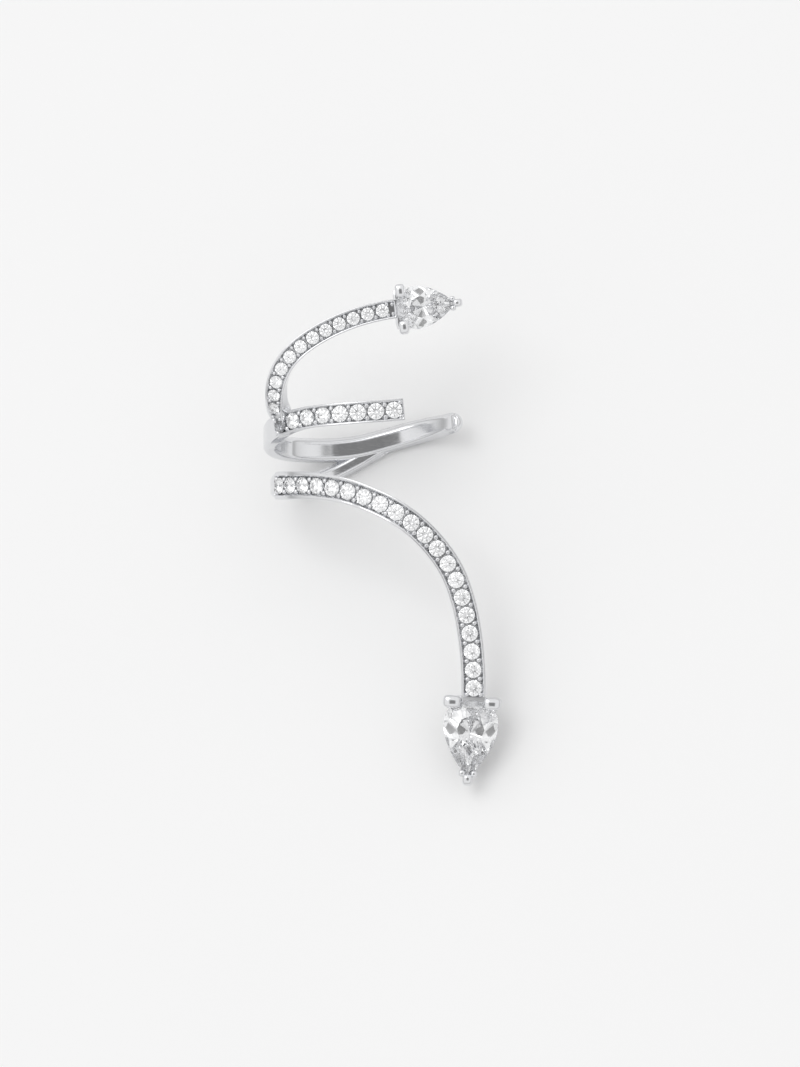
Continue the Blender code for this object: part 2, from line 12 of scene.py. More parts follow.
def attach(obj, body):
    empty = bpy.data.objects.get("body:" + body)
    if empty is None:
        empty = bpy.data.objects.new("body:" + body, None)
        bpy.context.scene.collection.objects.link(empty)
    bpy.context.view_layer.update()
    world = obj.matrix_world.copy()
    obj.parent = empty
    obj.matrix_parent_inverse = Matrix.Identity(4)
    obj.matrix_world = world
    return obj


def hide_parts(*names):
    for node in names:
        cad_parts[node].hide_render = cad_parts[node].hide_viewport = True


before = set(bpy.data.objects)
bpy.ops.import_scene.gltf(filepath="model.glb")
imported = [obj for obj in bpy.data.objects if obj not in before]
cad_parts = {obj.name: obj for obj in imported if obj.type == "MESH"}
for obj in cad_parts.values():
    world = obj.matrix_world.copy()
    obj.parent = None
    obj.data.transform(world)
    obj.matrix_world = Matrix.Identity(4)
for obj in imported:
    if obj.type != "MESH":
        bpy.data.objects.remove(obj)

bl_info = {
    "name": "Pave ear cuff",
    "version": (1, 0, 0),
    "blender": (4, 5, 0),
    "location": "View3D > Sidebar > Ear Cuff",
    "description": "Builds the smooth metal, the cut stones and the stage of a pave ear cuff",
    "category": "Add Mesh",
}

MM = 0.001
FRAME_NODE = "cuff_frame"

# How wide and deep the bars usually are, in mm: the clip's front bar and its plain band, the lower arm and
# its plain strip, and the upper arm
FRONT_BAR = (1.66, 1.35)
BAND = (1.85, 1.02)
ARM = (1.84, 1.35)
STRIP = (1.30, 0.95)
SMALL_ARM = (1.46, 1.25)

# A place on the middle of a bar's outer face, in mm as seen from the front: across to the right, up, and
# forward to the viewer. turn is the way that the face looks, in degrees: 0 forward, -90 left, -180 back
Station = namedtuple("Station", "across up forward turn wide deep")

CLIP = (
    Station(3.10, 1.54, 5.42, 2, *FRONT_BAR),
    Station(1.80, 1.42, 5.48, 0, *FRONT_BAR),
    Station(0.00, 1.31, 5.45, -4, *FRONT_BAR),
    Station(-1.80, 1.18, 5.18, -13, *FRONT_BAR),
    Station(-3.60, 1.02, 4.50, -27, *FRONT_BAR),
    Station(-5.20, 0.74, 3.46, -38, *FRONT_BAR),
    Station(-6.50, 0.34, 2.15, -52, *FRONT_BAR),
    Station(-7.35, -0.20, 0.65, -72, 1.85, 1.20),
    Station(-7.55, -0.62, -0.90, -94, *BAND),
    Station(-7.10, -1.05, -2.35, -118, *BAND),
    Station(-6.10, -1.30, -3.60, -142, *BAND),
    Station(-4.60, -1.42, -4.40, -160, *BAND),
    Station(-2.60, -1.44, -4.75, -172, *BAND),
    Station(-0.40, -1.22, -4.85, -179, *BAND),
    Station(1.80, -0.68, -4.85, -182, *BAND),
    Station(3.80, -0.14, -4.60, -192, *BAND),
    Station(5.40, 0.24, -3.85, -208, 1.76, 1.02),
    Station(6.58, 0.49, -2.79, -226, 1.64, 0.98),
    Station(7.40, 0.64, -1.66, -239, 1.58, 0.90),
    Station(7.66, 0.70, -1.14, -242, 1.54, 0.84),
)

LOWER_ARM = (
    Station(2.60, -0.60, -4.50, -184, 0.90, 0.30),
    Station(1.40, -1.20, -4.72, -182, 1.20, 0.70),
    Station(0.10, -1.95, -4.92, -180, *STRIP),
    Station(-1.50, -2.80, -4.95, -176, *STRIP),
    Station(-3.20, -3.52, -4.75, -166, *STRIP),
    Station(-4.80, -4.00, -4.20, -150, *STRIP),
    Station(-6.10, -4.20, -3.15, -128, 1.45, 0.95),
    Station(-6.86, -4.22, -1.70, -104, 1.34, 0.95),
    Station(-7.02, -4.19, -0.10, -84, 1.56, 1.05),
    Station(-6.72, -4.17, 1.35, -66, 2.02, 1.35),
    Station(-5.70, -4.16, 2.95, -50, 2.10, 1.35),
    Station(-4.45, -4.16, 4.20, -40, 2.05, 1.35),
    Station(-2.90, -4.28, 5.30, -28, 1.98, 1.35),
    Station(-1.20, -4.62, 6.20, -18, 1.92, 1.35),
    Station(0.60, -5.26, 6.85, -9, *ARM),
    Station(2.25, -6.05, 7.25, -3, *ARM),
    Station(3.85, -7.15, 7.45, 0, *ARM),
    Station(5.35, -8.65, 7.50, 2, *ARM),
    Station(6.62, -10.50, 7.42, 3, *ARM),
    Station(7.50, -12.85, 7.28, 3, *ARM),
    Station(8.02, -15.55, 7.10, 2, *ARM),
    Station(8.26, -18.60, 6.90, 1, *ARM),
    Station(8.26, -20.10, 6.78, 0, 1.84, 2.20),
    Station(8.24, -20.75, 6.72, 0, 1.84, 2.55),
)

UPPER_ARM = (
    Station(-6.30, 0.20, 2.00, -50, 0.90, 0.60),
    Station(-6.60, 0.95, 2.70, -38, 1.50, 1.25),
    Station(-6.72, 1.75, 3.35, -28, *SMALL_ARM),
    Station(-6.70, 2.65, 3.90, -20, *SMALL_ARM),
    Station(-6.48, 3.75, 4.40, -13, *SMALL_ARM),
    Station(-5.95, 4.85, 4.75, -8, *SMALL_ARM),
    Station(-5.05, 5.90, 5.00, -5, *SMALL_ARM),
    Station(-3.90, 6.78, 5.15, -3, *SMALL_ARM),
    Station(-2.40, 7.62, 5.28, -2, *SMALL_ARM),
    Station(-0.70, 8.32, 5.36, 0, *SMALL_ARM),
    Station(1.10, 8.82, 5.42, 0, *SMALL_ARM),
    Station(2.20, 9.02, 5.45, 0, 1.46, 2.10),
    Station(3.05, 9.12, 5.45, 0, 1.46, 2.45),
)

# A row of stones: from start beyond station number first to end beyond station number last, evenly spread.
# size is a stone's width, and cut is how far the bright cut reaches to either side of the bar's middle line
StoneRow = namedtuple("StoneRow", "name stations first start last end count size cut")

STONE_ROWS = {
    "clip": StoneRow("clip_stone", CLIP, 0, 0.76, 6, -0.32, 8, 1.22, 0.70),
    "lower": StoneRow("lower_arm_stone", LOWER_ARM, 9, 0.70, 22, -0.80, 20, 1.22, 0.77),
    "upper": StoneRow("upper_arm_stone", UPPER_ARM, 10, 0.36, 1, 0.87, 12, 0.96, 0.61),
}

# A pear stone: the middle of its round end, the way its point looks, its length and width, and how far its
# shoulder claws stand from its back, both turns in degrees
Pear = namedtuple("Pear", "name across up forward point_way long wide claw_turn")

PEARS = {
    "lower": Pear("lower_pear_stone", 8.06, -22.05, 6.62, -93.5, 6.00, 4.10, 42),
    "upper": Pear("upper_pear_stone", 4.07, 9.14, 5.45, 6.5, 4.55, 3.24, 50),
}

# How far the stones found in the frame may lie from the tables, in mm
LIE_TOLERANCE = 0.05
# Half the step over which a bar's way is measured, in mm
NEAR = 1e-3

# Radii in mm of the edges of a bar's face and of its back: beside the stones, on the clip's plain band, on
# the lower arm's plain strip, at the clip's tip, and on the upper arm
PAVE_EDGE = 0.07
BAND_EDGE = 0.27
STRIP_EDGE = 0.35
TIP_EDGE = 0.65
SMALL_EDGE = 0.06
PAVE_BACK = 0.24
BAND_BACK = 0.36
STRIP_BACK = 0.32
SMALL_BACK = 0.22
# The least depth left between a bar's edges, in mm, and the most of its depth that a back edge takes
EDGES_APART = 0.04
BACK_SHARE = 1 / 2.6
# How much narrower a bar's back is on each side, in mm
WALL_DRAFT = 0.12
# Points on a quarter round of the face's edge, on a wall, and on a quarter round of the back's edge
EDGE_POINTS = 6
WALL_POINTS = 5
BACK_POINTS = 8

# Stretches of a bar with rows of their own, in mm: the clip's front end, beyond its last stone, before its
# tip and at it, and before the lower arm's first stone; and the steps at the clip's ends
FRONT_END = 0.1
BEYOND_LAST = 1.1
NEAR_TIP = 0.9
TIP = 0.15
BEFORE_FIRST = 1.0
FRONT_END_STEP = 0.02
NEAR_TIP_STEP = 0.03
TIP_STEP = 0.01
# Where the edges change, in mm: beyond the clip's last stone, before its tip, and before the lower arm's
# first stone; and how long the change takes on the clip and on the arm
BAND_STARTS = 0.7
TIP_STARTS = 2.8
STRIP_ENDS = 0.9
CLIP_CHANGE = 2.0
ARM_CHANGE = 0.5
# The clip's front end is this share of its bar, and grows to the whole over this length in mm
FRONT_END_SHARE = 0.93
FRONT_END_GROWS = 0.07
# The lengths in mm over which the tip closes across and in depth, and the power of its curve
TIP_CLOSES = (0.85, 0.50)
TIP_POWER = 2.2
LEAST_SHARE = 0.001

# How deep the bright cut is, in mm, and over what width its edges slope down
CUT_DEEP = 0.21
CUT_SLOPE = 0.19
# The room round a stone in its seat, how far in from the seat's rim the cone goes down, and how steeply
SEAT_GAP = 0.01
PIT_REACH = 0.60
PIT_SLOPE = 1.06
# The length over which the trough's ends run out, in mm
TROUGH_END = 0.06
# How much further the upper arm's trough goes at its root and at its pear stone, in mm
UPPER_TROUGH_MORE = (0.90, 0.45)

# A bead: its height above and the depth of its foot below its middle as shares of its radius, the angle
# where its dome ends, and its points round and up
DOME_HIGH = 0.85
DOME_FOOT = 0.32
DOME_END = 1.9
DOME_AROUND = 12
DOME_RINGS = 7
# Where beads stand: out from the bar's middle line, and beyond the row's end stones, as shares of a stone's
# size, and how deep below the bar's face, in mm
BEAD_OUT = 0.37
END_BEAD_OUT = 0.42
END_BEAD_BEYOND = 0.40
BEAD_SUNK = 0.10
# A further pair of beads before the first pair and after the last pair of a row, in mm from it
FURTHER_BEADS = {"upper": (0.40, 0.60)}

# How the stones are cut, as shares of a stone's width: crown and pavilion from the girdle's edges, and how
# high the table lies above the bar's face in mm
MAINS = 8
CROWN_SHARE = 0.15
PAVILION_SHARE = 0.43
TABLE_ABOVE = 0.10
# table, star and keel are shares of the way out to the girdle, and rim is half the girdle's height
Cut = namedtuple("Cut", "table star keel rim")
ROUND_CUT = Cut(0.57, 0.80, 0.24, 0.012)
PEAR_CUT = Cut(0.50, 0.76, 0.62, 0.013)
ROUND_POINTS = 32
PEAR_POINTS = 64
# The mean height of a frame stone's corners above its girdle, as a share of its size
CORNERS_ABOVE = 0.0222
# How far each next stone is turned on its axis, and how far a stone set by hand leans, as a slope
GOLDEN_ANGLE = 2.39996
STONE_LEAN = 0.045
# The power of a pear's sides, and the middle of its facets as a share of its length from the round end's
PEAR_SIDE = 1.75
PEAR_MIDDLE = 0.10

# What a setting keeps clear of: half the stone's rim in mm, room round it as a share of the way out, what
# the crown loses up to its table, and the height above the crown up to which it is kept clear, in mm
CLEAR_RIM = 0.06
CLEAR_SHARE = 0.02
CROWN_LOSS = 0.43
CLEAR_ABOVE = 0.08

# The sizes of the settings are in mm for a stone this wide, and go with the stone's width
SETTING_WIDE = 4.1
# A level of an upright block of a setting. reach is its place as a share of the way to where the block
# stands, beyond and side add to it, share is the size of its section, and height is from the girdle
Level = namedtuple("Level", "reach beyond side share height")

SHOULDER_LEVELS = (
    Level(0.66, 0, 0, 0.80, -2.05),
    Level(0.74, 0, 0, 0.84, -1.15),
    Level(0.96, 0, 0, 0.96, -0.34),
    Level(1, 0, 0, 1, 0.10),
    Level(0.985, 0, 0, 0.97, 0.50),
    Level(0.96, 0, 0, 0.90, 0.72),
)
POINT_LEVELS = (
    Level(0.78, 0, 0, 0.86, -2.05),
    Level(0.84, 0, 0, 0.90, -1.15),
    Level(1, 0.02, 0, 1, -0.34),
    Level(1, 0.16, 0, 1, 0.08),
    Level(1, 0.14, 0, 0.96, 0.36),
    Level(1, 0.08, 0, 0.86, 0.58),
)
POINT_ARM_LEVELS = (
    Level(0.80, 0, 0.26, 0.80, -1.30),
    Level(1, -0.34, 0.44, 0.95, -0.30),
    Level(1, -0.32, 0.46, 1, 0.10),
    Level(1, -0.32, 0.44, 0.92, 0.46),
)
COLLAR_LEVELS = (
    Level(1, 0.10, 0, 0.66, -2.05),
    Level(1, 0.04, 0, 0.86, -1.00),
    Level(1, 0, 0, 1, -0.20),
)
# A block's half sizes along the stone and across it, the power of its outline, which makes it square, and the
# height over which its top closes
Block = namedtuple("Block", "half_long half_wide power cap")
SHOULDER_CLAW = Block(0.47, 0.65, 3.6, 0.24)
POINT_CLAW = Block(0.43, 0.39, 3.0, 0.24)
POINT_ARM = Block(0.26, 0.25, 2.8, 0.18)
COLLAR = Block(0.56, 1.927, 6.0, 0.10)
# How far a shoulder claw stands outside the girdle, and how far the collar's back does, in mm
CLAW_OUT = 0.24
COLLAR_BACK = 0.12
# The power of a block's closing top, and the points of a block round, up its side and over its top
TOP_POWER = 2.6
BLOCK_AROUND = 28
BLOCK_UP = 18
BLOCK_TOP = 9
# The gallery ring: its outline as a share of the girdle's, half its thickness and height, the height of its
# middle, the power of its section, and its points along and round
GALLERY_SHARE = 0.68
GALLERY_HALF_THICK = 0.30
GALLERY_HALF_HIGH = 0.40
GALLERY_HEIGHT = -1.62
GALLERY_POWER = 2.8
GALLERY_ALONG = 96
GALLERY_AROUND = 16

# Edges under these angles in degrees are shaded smooth: bars, beads and settings
BAR_SMOOTH = 40
BEAD_SMOOTH = 60
SETTING_SMOOTH = 50

# The middle of the photo in the front view, in mm, and the way to the main light there
VIEW_MIDDLE = (2.775, -7.7625, 4.0)
KEY_WAY = (-0.42, 0.45, 0.80)
# Half the floor's side and the main light's side in metres, and the camera's sensor in mm
FLOOR_HALF = 3.0
KEY_SIDE = 0.75
SENSOR = 36.0
# How light the studio is, by how far up a direction points, and where the dark patch before the cuff
# starts and is full, as the cosine of the turn from the camera's direction
STUDIO_BANDS = ((0.0, 0.75), (0.13, 0.50), (0.30, 0.80), (0.60, 0.97), (1.0, 1.0))
PATCH_STARTS = 0.970
PATCH_FULL = 0.984


def unit(rows):
    """Each row divided by its length."""
    return rows / np.linalg.norm(rows, axis=-1, keepdims=True)


def ease(x):
    """Smooth step: 0 below 0, 1 above 1, and 3x^2 - 2x^3 between."""
    x = np.clip(x, 0.0, 1.0)
    return x * x * (3 - 2 * x)


def rise(along, start, long):
    """Smooth step from 0 at a start to 1 after a length."""
    return ease((along - start) / long)


def blend(low, high, share):
    """From low at share 0 to high at share 1."""
    return low + (high - low) * share


def spline(knots, values, at):
    """Cubic Hermite curve through the values; each slope is the length-weighted mean of its two chords."""
    gaps = np.diff(knots)
    rises = np.diff(values, axis=0) / gaps[:, None]
    slopes = np.empty_like(values)
    slopes[0] = rises[0]
    slopes[-1] = rises[-1]
    gap_before = gaps[:-1, None]
    gap_after = gaps[1:, None]
    slopes[1:-1] = (rises[:-1] * gap_after + rises[1:] * gap_before) / (gap_before + gap_after)
    index = np.clip(np.searchsorted(knots, at, side="right") - 1, 0, len(gaps) - 1)
    part = ((at - knots[index]) / gaps[index])[:, None]
    gap = gaps[index][:, None]
    cube = part**3
    square = part**2
    return (
        (2 * cube - 3 * square + 1) * values[index]
        + (cube - 2 * square + part) * slopes[index] * gap
        + (3 * square - 2 * cube) * values[index + 1]
        + (cube - square) * slopes[index + 1] * gap
    )


# Places along a bar: the middle of its face, its ways along, out and sideways, and its width and depth
BarPlaces = namedtuple("BarPlaces", "face run out side wide deep")


class Bar:
    """A bar that follows its stations."""

    def __init__(self, stations):
        self.table = np.array(stations, float)
        chords = np.linalg.norm(np.diff(self.table[:, :3], axis=0), axis=1)
        self.knots = np.concatenate(([0.0], np.cumsum(chords)))
        self.length = self.knots[-1]

    def at(self, along):
        """Splines through the table give face, wide, deep and the turn t. run is the way of the spline, out
        is (sin t, 0, cos t) made square to run, and side is run x out."""
        row = spline(self.knots, self.table, along)
        ahead = spline(self.knots, self.table[:, :3], along + NEAR)
        behind = spline(self.knots, self.table[:, :3], along - NEAR)
        run = unit(ahead - behind)
        turn = np.radians(row[:, 3])
        out = np.stack([np.sin(turn), 0 * turn, np.cos(turn)], axis=1)
        out = unit(out - run * np.sum(out * run, axis=1, keepdims=True))
        return BarPlaces(row[:, :3], run, out, np.cross(run, out), row[:, 4], row[:, 5])


def stone_lines(row):
    """How far along its bar each stone of a row is set: evenly from the row's start to its end."""
    knots = Bar(row.stations).knots
    return np.linspace(knots[row.first] + row.start, knots[row.last] + row.end, row.count)


def stone_places(row):
    """The girdle middles of a row's stones, each straight in from the bar's face by what the crown is deeper
    than the table is high, and the places along the bar that they belong to."""
    places = Bar(row.stations).at(stone_lines(row))
    return places.face - places.out * (CROWN_SHARE * row.size - TABLE_ABOVE), places


def cuff_lie():
    """How the cuff lies: the turn and the shift that carry the middles of its stones in the front view
    onto the stones of the frame, by least squares (the turn is U V' of the cross product's U S V')."""
    here, there = [], []
    for row in STONE_ROWS.values():
        middles, places = stone_places(row)
        here.append(middles + places.out * CORNERS_ABOVE * row.size)
        for number in range(row.count):
            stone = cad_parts[f"{row.name}_{number + 1:02d}"]
            corners = np.empty(len(stone.data.vertices) * 3)
            stone.data.vertices.foreach_get("co", corners)
            corners = np.unique(corners.reshape(-1, 3).round(7), axis=0)
            there.append(corners.mean(0) / MM)
    here = np.concatenate(here)
    there = np.array(there)
    u, _, v = np.linalg.svd((there - there.mean(0)).T @ (here - here.mean(0)))
    turn = u @ np.diag([1, 1, np.sign(np.linalg.det(u @ v))]) @ v
    shift = there.mean(0) - turn @ here.mean(0)
    worst = np.linalg.norm(here @ turn.T + shift - there, axis=1).max()
    if worst > LIE_TOLERANCE:
        raise RuntimeError(f"the stones of the frame lie up to {worst:.3f} mm from the tables")
    return turn, shift


TURN, SHIFT = cuff_lie()
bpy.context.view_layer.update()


def lay(points):
    """Points of the front view in mm, carried to where the cuff lies, in metres."""
    return (np.asarray(points, float).reshape(-1, 3) @ TURN.T + SHIFT) * MM


def grid_faces(rows, columns, ring=False):
    """Quads of a grid of points whose last column joins the first. With ring set, so does its last row."""
    row = np.arange(rows if ring else rows - 1)[:, None]
    column = np.arange(columns)[None, :]
    low = row * columns
    high = (row + 1) % rows * columns
    beside = (column + 1) % columns
    return np.stack([low + column, low + beside, high + beside, high + column], axis=-1).reshape(-1, 4)


def tube_faces(rows, columns):
    """Faces of a tube of closed rows of points: its quads, and one flat face over each end."""
    end = np.arange(columns)
    return [grid_faces(rows, columns), end[None, ::-1], ((rows - 1) * columns + end)[None]]


def copied_faces(faces, times, count):
    """The faces of a shape of count points, once for each of its copies in one list of points."""
    step = (np.arange(times) * count)[:, None, None]
    return [(part[None] + step).reshape(-1, part.shape[1]) for part in faces]


def merged(parts):
    """Several shapes as one: their points in one list and their faces counted on."""
    points, faces, first = [], [], 0
    for spots, polygons in parts:
        points.append(spots)
        faces.extend(part + first for part in polygons)
        first += len(spots)
    return np.concatenate(points), faces


def make_piece(name, points, faces, material, smooth_angle, recess=None):
    """A mesh object at the origin from points in the front view and a list of face arrays. The last argument
    says, for each point, how deep it lies in a cut, from 0 to 1: the mask of the shade painted into the cuts."""
    mesh = bpy.data.meshes.new(name)
    corners = np.concatenate([part.reshape(-1) for part in faces])
    sizes = np.concatenate([np.full(len(part), part.shape[1]) for part in faces])
    starts = np.concatenate(([0], np.cumsum(sizes)[:-1]))
    mesh.vertices.add(len(points))
    mesh.vertices.foreach_set("co", lay(points).astype(np.float32).reshape(-1))
    mesh.loops.add(len(corners))
    mesh.loops.foreach_set("vertex_index", corners.astype(np.int32))
    mesh.polygons.add(len(sizes))
    mesh.polygons.foreach_set("loop_start", starts.astype(np.int32))
    mesh.update(calc_edges=True)
    mesh.validate()
    if smooth_angle:
        mesh.shade_smooth()
        mesh.set_sharp_from_angle(angle=math.radians(smooth_angle))
    else:
        mesh.shade_flat()
    # The per-point mask of the shade painted into the cuts, kept on the mesh for the metal
    if recess is not None:
        mesh.attributes.new("recess", "FLOAT", "POINT").data.foreach_set("value", recess.astype(np.float32))
    mesh.materials.append(material)
    piece = bpy.data.objects.new(name, mesh)
    bpy.context.scene.collection.objects.link(piece)
    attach(piece, "root")
    return piece


def metal_piece(name, points, faces, smooth_angle, recess=None):
    """A piece of the cuff's metal."""
    piece = make_piece(name, points, faces, cuff_metal(), smooth_angle, recess)
    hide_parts(FRAME_NODE)


def stone_piece(name, points, faces):
    """A piece of cut stone, all its facets flat."""
    return make_piece(name, points, faces, cuff_stone(), 0)


def outline_shape(wide, deep, edge, back, face_points):
    """A bar's section for each row, as (side, depth): a face of face_points points from edge to edge,
    quarter rounds of radius edge, walls that lean in by WALL_DRAFT, and quarter rounds of radius back."""
    half, deep, edge, back = (values[:, None] for values in (wide / 2, deep, edge, back))
    narrow = half - WALL_DRAFT
    across = np.linspace(-1, 1, face_points)[None, :] * (half - edge)
    face = np.stack([across, across * 0], axis=-1)
    angle = np.linspace(0, math.pi / 2, EDGE_POINTS)[None, 1:]
    rim = np.stack([half - edge + edge * np.sin(angle), edge * (np.cos(angle) - 1)], axis=-1)
    share = np.linspace(0, 1, WALL_POINTS)[None, 1:-1]
    wall = np.stack([blend(half, narrow, share), blend(-edge, back - deep, share)], axis=-1)
    angle = np.linspace(0, math.pi / 2, BACK_POINTS)[None, :]
    heel = np.stack([narrow - back + back * np.cos(angle), -deep + back - back * np.sin(angle)], axis=-1)
    inner = (narrow - back) * (1 - 2 * np.linspace(0, 1, BACK_POINTS)[None, 1:-1])
    under = np.stack([inner, 0 * inner - deep], axis=-1)
    right = np.concatenate([rim, wall, heel], axis=1)
    left = right[:, ::-1] * (-1.0, 1.0)
    return np.concatenate([face, right, under, left], axis=1)


def pave_cut(row, along, across, more):
    """How far the bright cut goes below the face. From its straight edges it slopes down over CUT_SLOPE to a
    trough, and inside each stone's circle it is a cone steeper than the stone. more says how much further
    the trough goes on at its low end and at its high end."""
    lines = stone_lines(row)
    reach = row.size / 2 + SEAT_GAP
    nearest = lines[np.abs(along[:, None] - lines[None, :]).argmin(1)]
    inside = reach - np.hypot((along - nearest)[:, None], across)
    slope = np.clip((row.cut - np.abs(across)) / CUT_SLOPE, 0, 1)
    low = lines.min() - reach - SEAT_GAP - more[0]
    high = lines.max() + reach + SEAT_GAP + more[1]
    ends = (rise(along, low, TROUGH_END) * rise(-along, -high, TROUGH_END))[:, None]
    return (CUT_DEEP * slope + PIT_SLOPE * np.clip(inside, 0, PIT_REACH)) * ends


def bar_lines(bar, stretches):
    """Places of the rows along a bar, from stretches of (start, end, step), with the bar's two ends."""
    parts = [np.arange(start, end, step) for start, end, step in stretches]
    return np.unique(np.concatenate(parts + [[0.0, bar.length]]).round(5))


def bar_piece(name, bar, row, along, edge, back, shrink=1.0, more=(0.0, 0.0)):
    """A bar's skin: its section, lowered by the bright cut and then shrunk about its middle, carried along
    the bar. A point is face + s side + d out for each (s, d) of the section."""
    face_points = bpy.context.scene.cuff_form.face_points
    places = bar.at(along)
    shape = outline_shape(places.wide, places.deep, edge, back, face_points)
    depth = pave_cut(row, along, shape[:, :face_points, 0], more)
    shape[:, :face_points, 1] -= depth
    # How deep each face point lies in the cut, as the mask for the shade painted into the cuts: darker the
    # deeper
    recess = np.zeros(shape.shape[:2])
    recess[:, :face_points] = np.clip(depth / CUT_DEEP, 0, 1)
    middle = np.stack([places.wide * 0, -places.deep / 2], axis=-1)[:, None]
    shape = middle + (shape - middle) * shrink
    points = places.face[:, None] + shape @ np.stack([places.side, places.out], axis=1)
    metal_piece(name, points.reshape(-1, 3), tube_faces(*recess.shape), BAR_SMOOTH, recess.reshape(-1))


def bead_domes(spots, run, side, out, radius):
    """Domes set at spots. A point of a dome of radius r is spot + r (sin t cos p side + sin t sin p run +
    DOME_HIGH cos t out), with p once round and t from 0 at the top to DOME_END. A foot below closes it."""
    t = np.linspace(0, DOME_END, DOME_RINGS)[1:, None]
    p = 2 * math.pi * np.arange(DOME_AROUND) / DOME_AROUND
    rings = np.stack([np.sin(t) * np.cos(p), np.sin(t) * np.sin(p), DOME_HIGH * np.cos(t) + 0 * p], axis=-1)
    dome = radius * np.concatenate([[[0, 0, DOME_HIGH]], rings.reshape(-1, 3), [[0, 0, -DOME_FOOT]]])
    points = spots[:, None] + dome @ np.stack([side, run, out], axis=1)
    quads = grid_faces(DOME_RINGS - 1, DOME_AROUND) + 1
    step = np.arange(DOME_AROUND)
    beside = (step + 1) % DOME_AROUND
    last = 1 + (DOME_RINGS - 2) * DOME_AROUND
    foot = last + DOME_AROUND
    top_caps = np.stack([1 + beside, 1 + step, 0 * step], axis=-1)
    foot_caps = np.stack([last + step, last + beside, 0 * step + foot], axis=-1)
    faces = [quads[:, ::-1], np.concatenate([top_caps, foot_caps])]
    return points.reshape(-1, 3), copied_faces(faces, len(spots), len(dome))


def row_beads(row, radius, further):
    """The bead prongs of a row: a pair at each gap between stones, a pair beyond each end stone, and with
    further set, one more pair at each end at those distances from the last."""
    lines = stone_lines(row)
    half = (lines[1] - lines[0]) / 2
    way = np.sign(half)
    first = lines[0] - way * END_BEAD_BEYOND * row.size
    last = lines[-1] + way * END_BEAD_BEYOND * row.size
    along = np.concatenate([[first], lines[:-1] + half, [last]])
    out_shares = np.full(len(along), BEAD_OUT)
    out_shares[[0, -1]] = END_BEAD_OUT
    if further:
        along = np.concatenate([[first - way * further[0]], along, [last + way * further[1]]])
        out_shares = np.concatenate([[BEAD_OUT], out_shares, [BEAD_OUT]])
    places = Bar(row.stations).at(along)
    reach = places.side * (out_shares * row.size)[:, None]
    run, side, out = (np.tile(ways, (2, 1)) for ways in (places.run, places.side, places.out))
    spots = np.concatenate([places.face - reach, places.face + reach]) - out * BEAD_SUNK
    return bead_domes(spots, run, side, out, radius)


def pear_outline(pear, count):
    """The pear's girdle about the middle of its round end: a half circle of radius r, half its width, and
    sides y = r (1 - x^PEAR_SIDE) to the point, x being the share of the way to it. It starts at the back of
    the round end, and goes along one side to the point and along the other side back."""
    reach = pear.wide / 2
    tail = pear.long - reach
    turn = np.arange(count) / count
    hand = np.where(turn < 0.5, 1.0, -1.0)
    share = np.abs(1 - 2 * turn)
    angle = math.pi * (0.5 + 0.5 * np.clip(share * 2 - 1, 0, 1))
    way = np.clip(1 - share * 2, 0, 1)
    x = np.where(share > 0.5, reach * np.cos(angle), tail * way)
    y = np.where(share > 0.5, reach * np.sin(angle), reach * (1 - way**PEAR_SIDE))
    return np.stack([x, y * hand], axis=1)


def pear_middle(pear):
    """Where a pear's facets meet, from the middle of its round end."""
    return np.array([PEAR_MIDDLE * pear.long, 0.0])


def place_local(pear, local):
    """Points (along, side, height) about a pear's round end, carried to where it is set: its point looks the
    way point_way in the front view, and its table looks forward."""
    way = math.radians(pear.point_way)
    run = np.array([math.cos(way), math.sin(way), 0.0])
    out = np.array([0.0, 0.0, 1.0])
    return (pear.across, pear.up, pear.forward) + local @ np.stack([run, np.cross(out, run), out])


def cut_stone(girdle, middle, wide, cut):
    """A brilliant cut over any girdle outline about a middle, with MAINS main facets. The table has MAINS
    corners, then come the star facets, the kites and the upper girdle facets; below, the lower girdle facets
    and the mains run to the culet. Between table and girdle a facet corner lies at the share cut.star of the
    way out, and so high that the kite beside it stays flat; the pavilion does the same at cut.keel."""
    count = len(girdle)
    step = count // (2 * MAINS)
    arm = girdle - middle
    main = arm[:: 2 * step]
    between = arm[step :: 2 * step]
    flat = math.cos(math.pi / MAINS)
    lean = (cut.star * flat - cut.table) / (1 - cut.table)
    crown = CROWN_SHARE * wide
    pavilion = PAVILION_SHARE * wide
    edge = cut.rim * wide

    def ring(spots, height):
        return np.column_stack([spots, np.full(len(spots), height)])

    points = np.concatenate(
        [
            ring(main * cut.table, edge + crown),
            ring(between * cut.star, edge + crown * (1 - lean)),
            ring(arm, edge),
            ring(arm, -edge),
            ring(between * cut.keel, -edge - pavilion * (1 - cut.keel * flat)),
            ring(np.zeros((1, 2)), -edge - pavilion),
        ]
    )
    points[:, :2] += middle
    star = MAINS
    top = star + MAINS
    low = top + count
    keel = low + count
    culet = keel + MAINS

    k = np.arange(MAINS)
    before = (k - 1) % MAINS
    here = 2 * step * k
    spot = np.arange(count)
    turn = (spot + 1) % count
    owner = spot // (2 * step)
    triangles = [
        (k, star + k, (k + 1) % MAINS),
        (star + owner, top + spot, top + turn),
        (keel + owner, low + turn, low + spot),
        (k, star + before, top + here),
        (k, top + here, star + k),
        (0 * k + culet, keel + k, low + here),
        (0 * k + culet, low + here, keel + before),
    ]
    rim = np.stack([low + spot, low + turn, top + turn, top + spot], axis=-1)
    return points, [np.concatenate([np.stack(three, axis=-1) for three in triangles]), rim, k[None, :]]


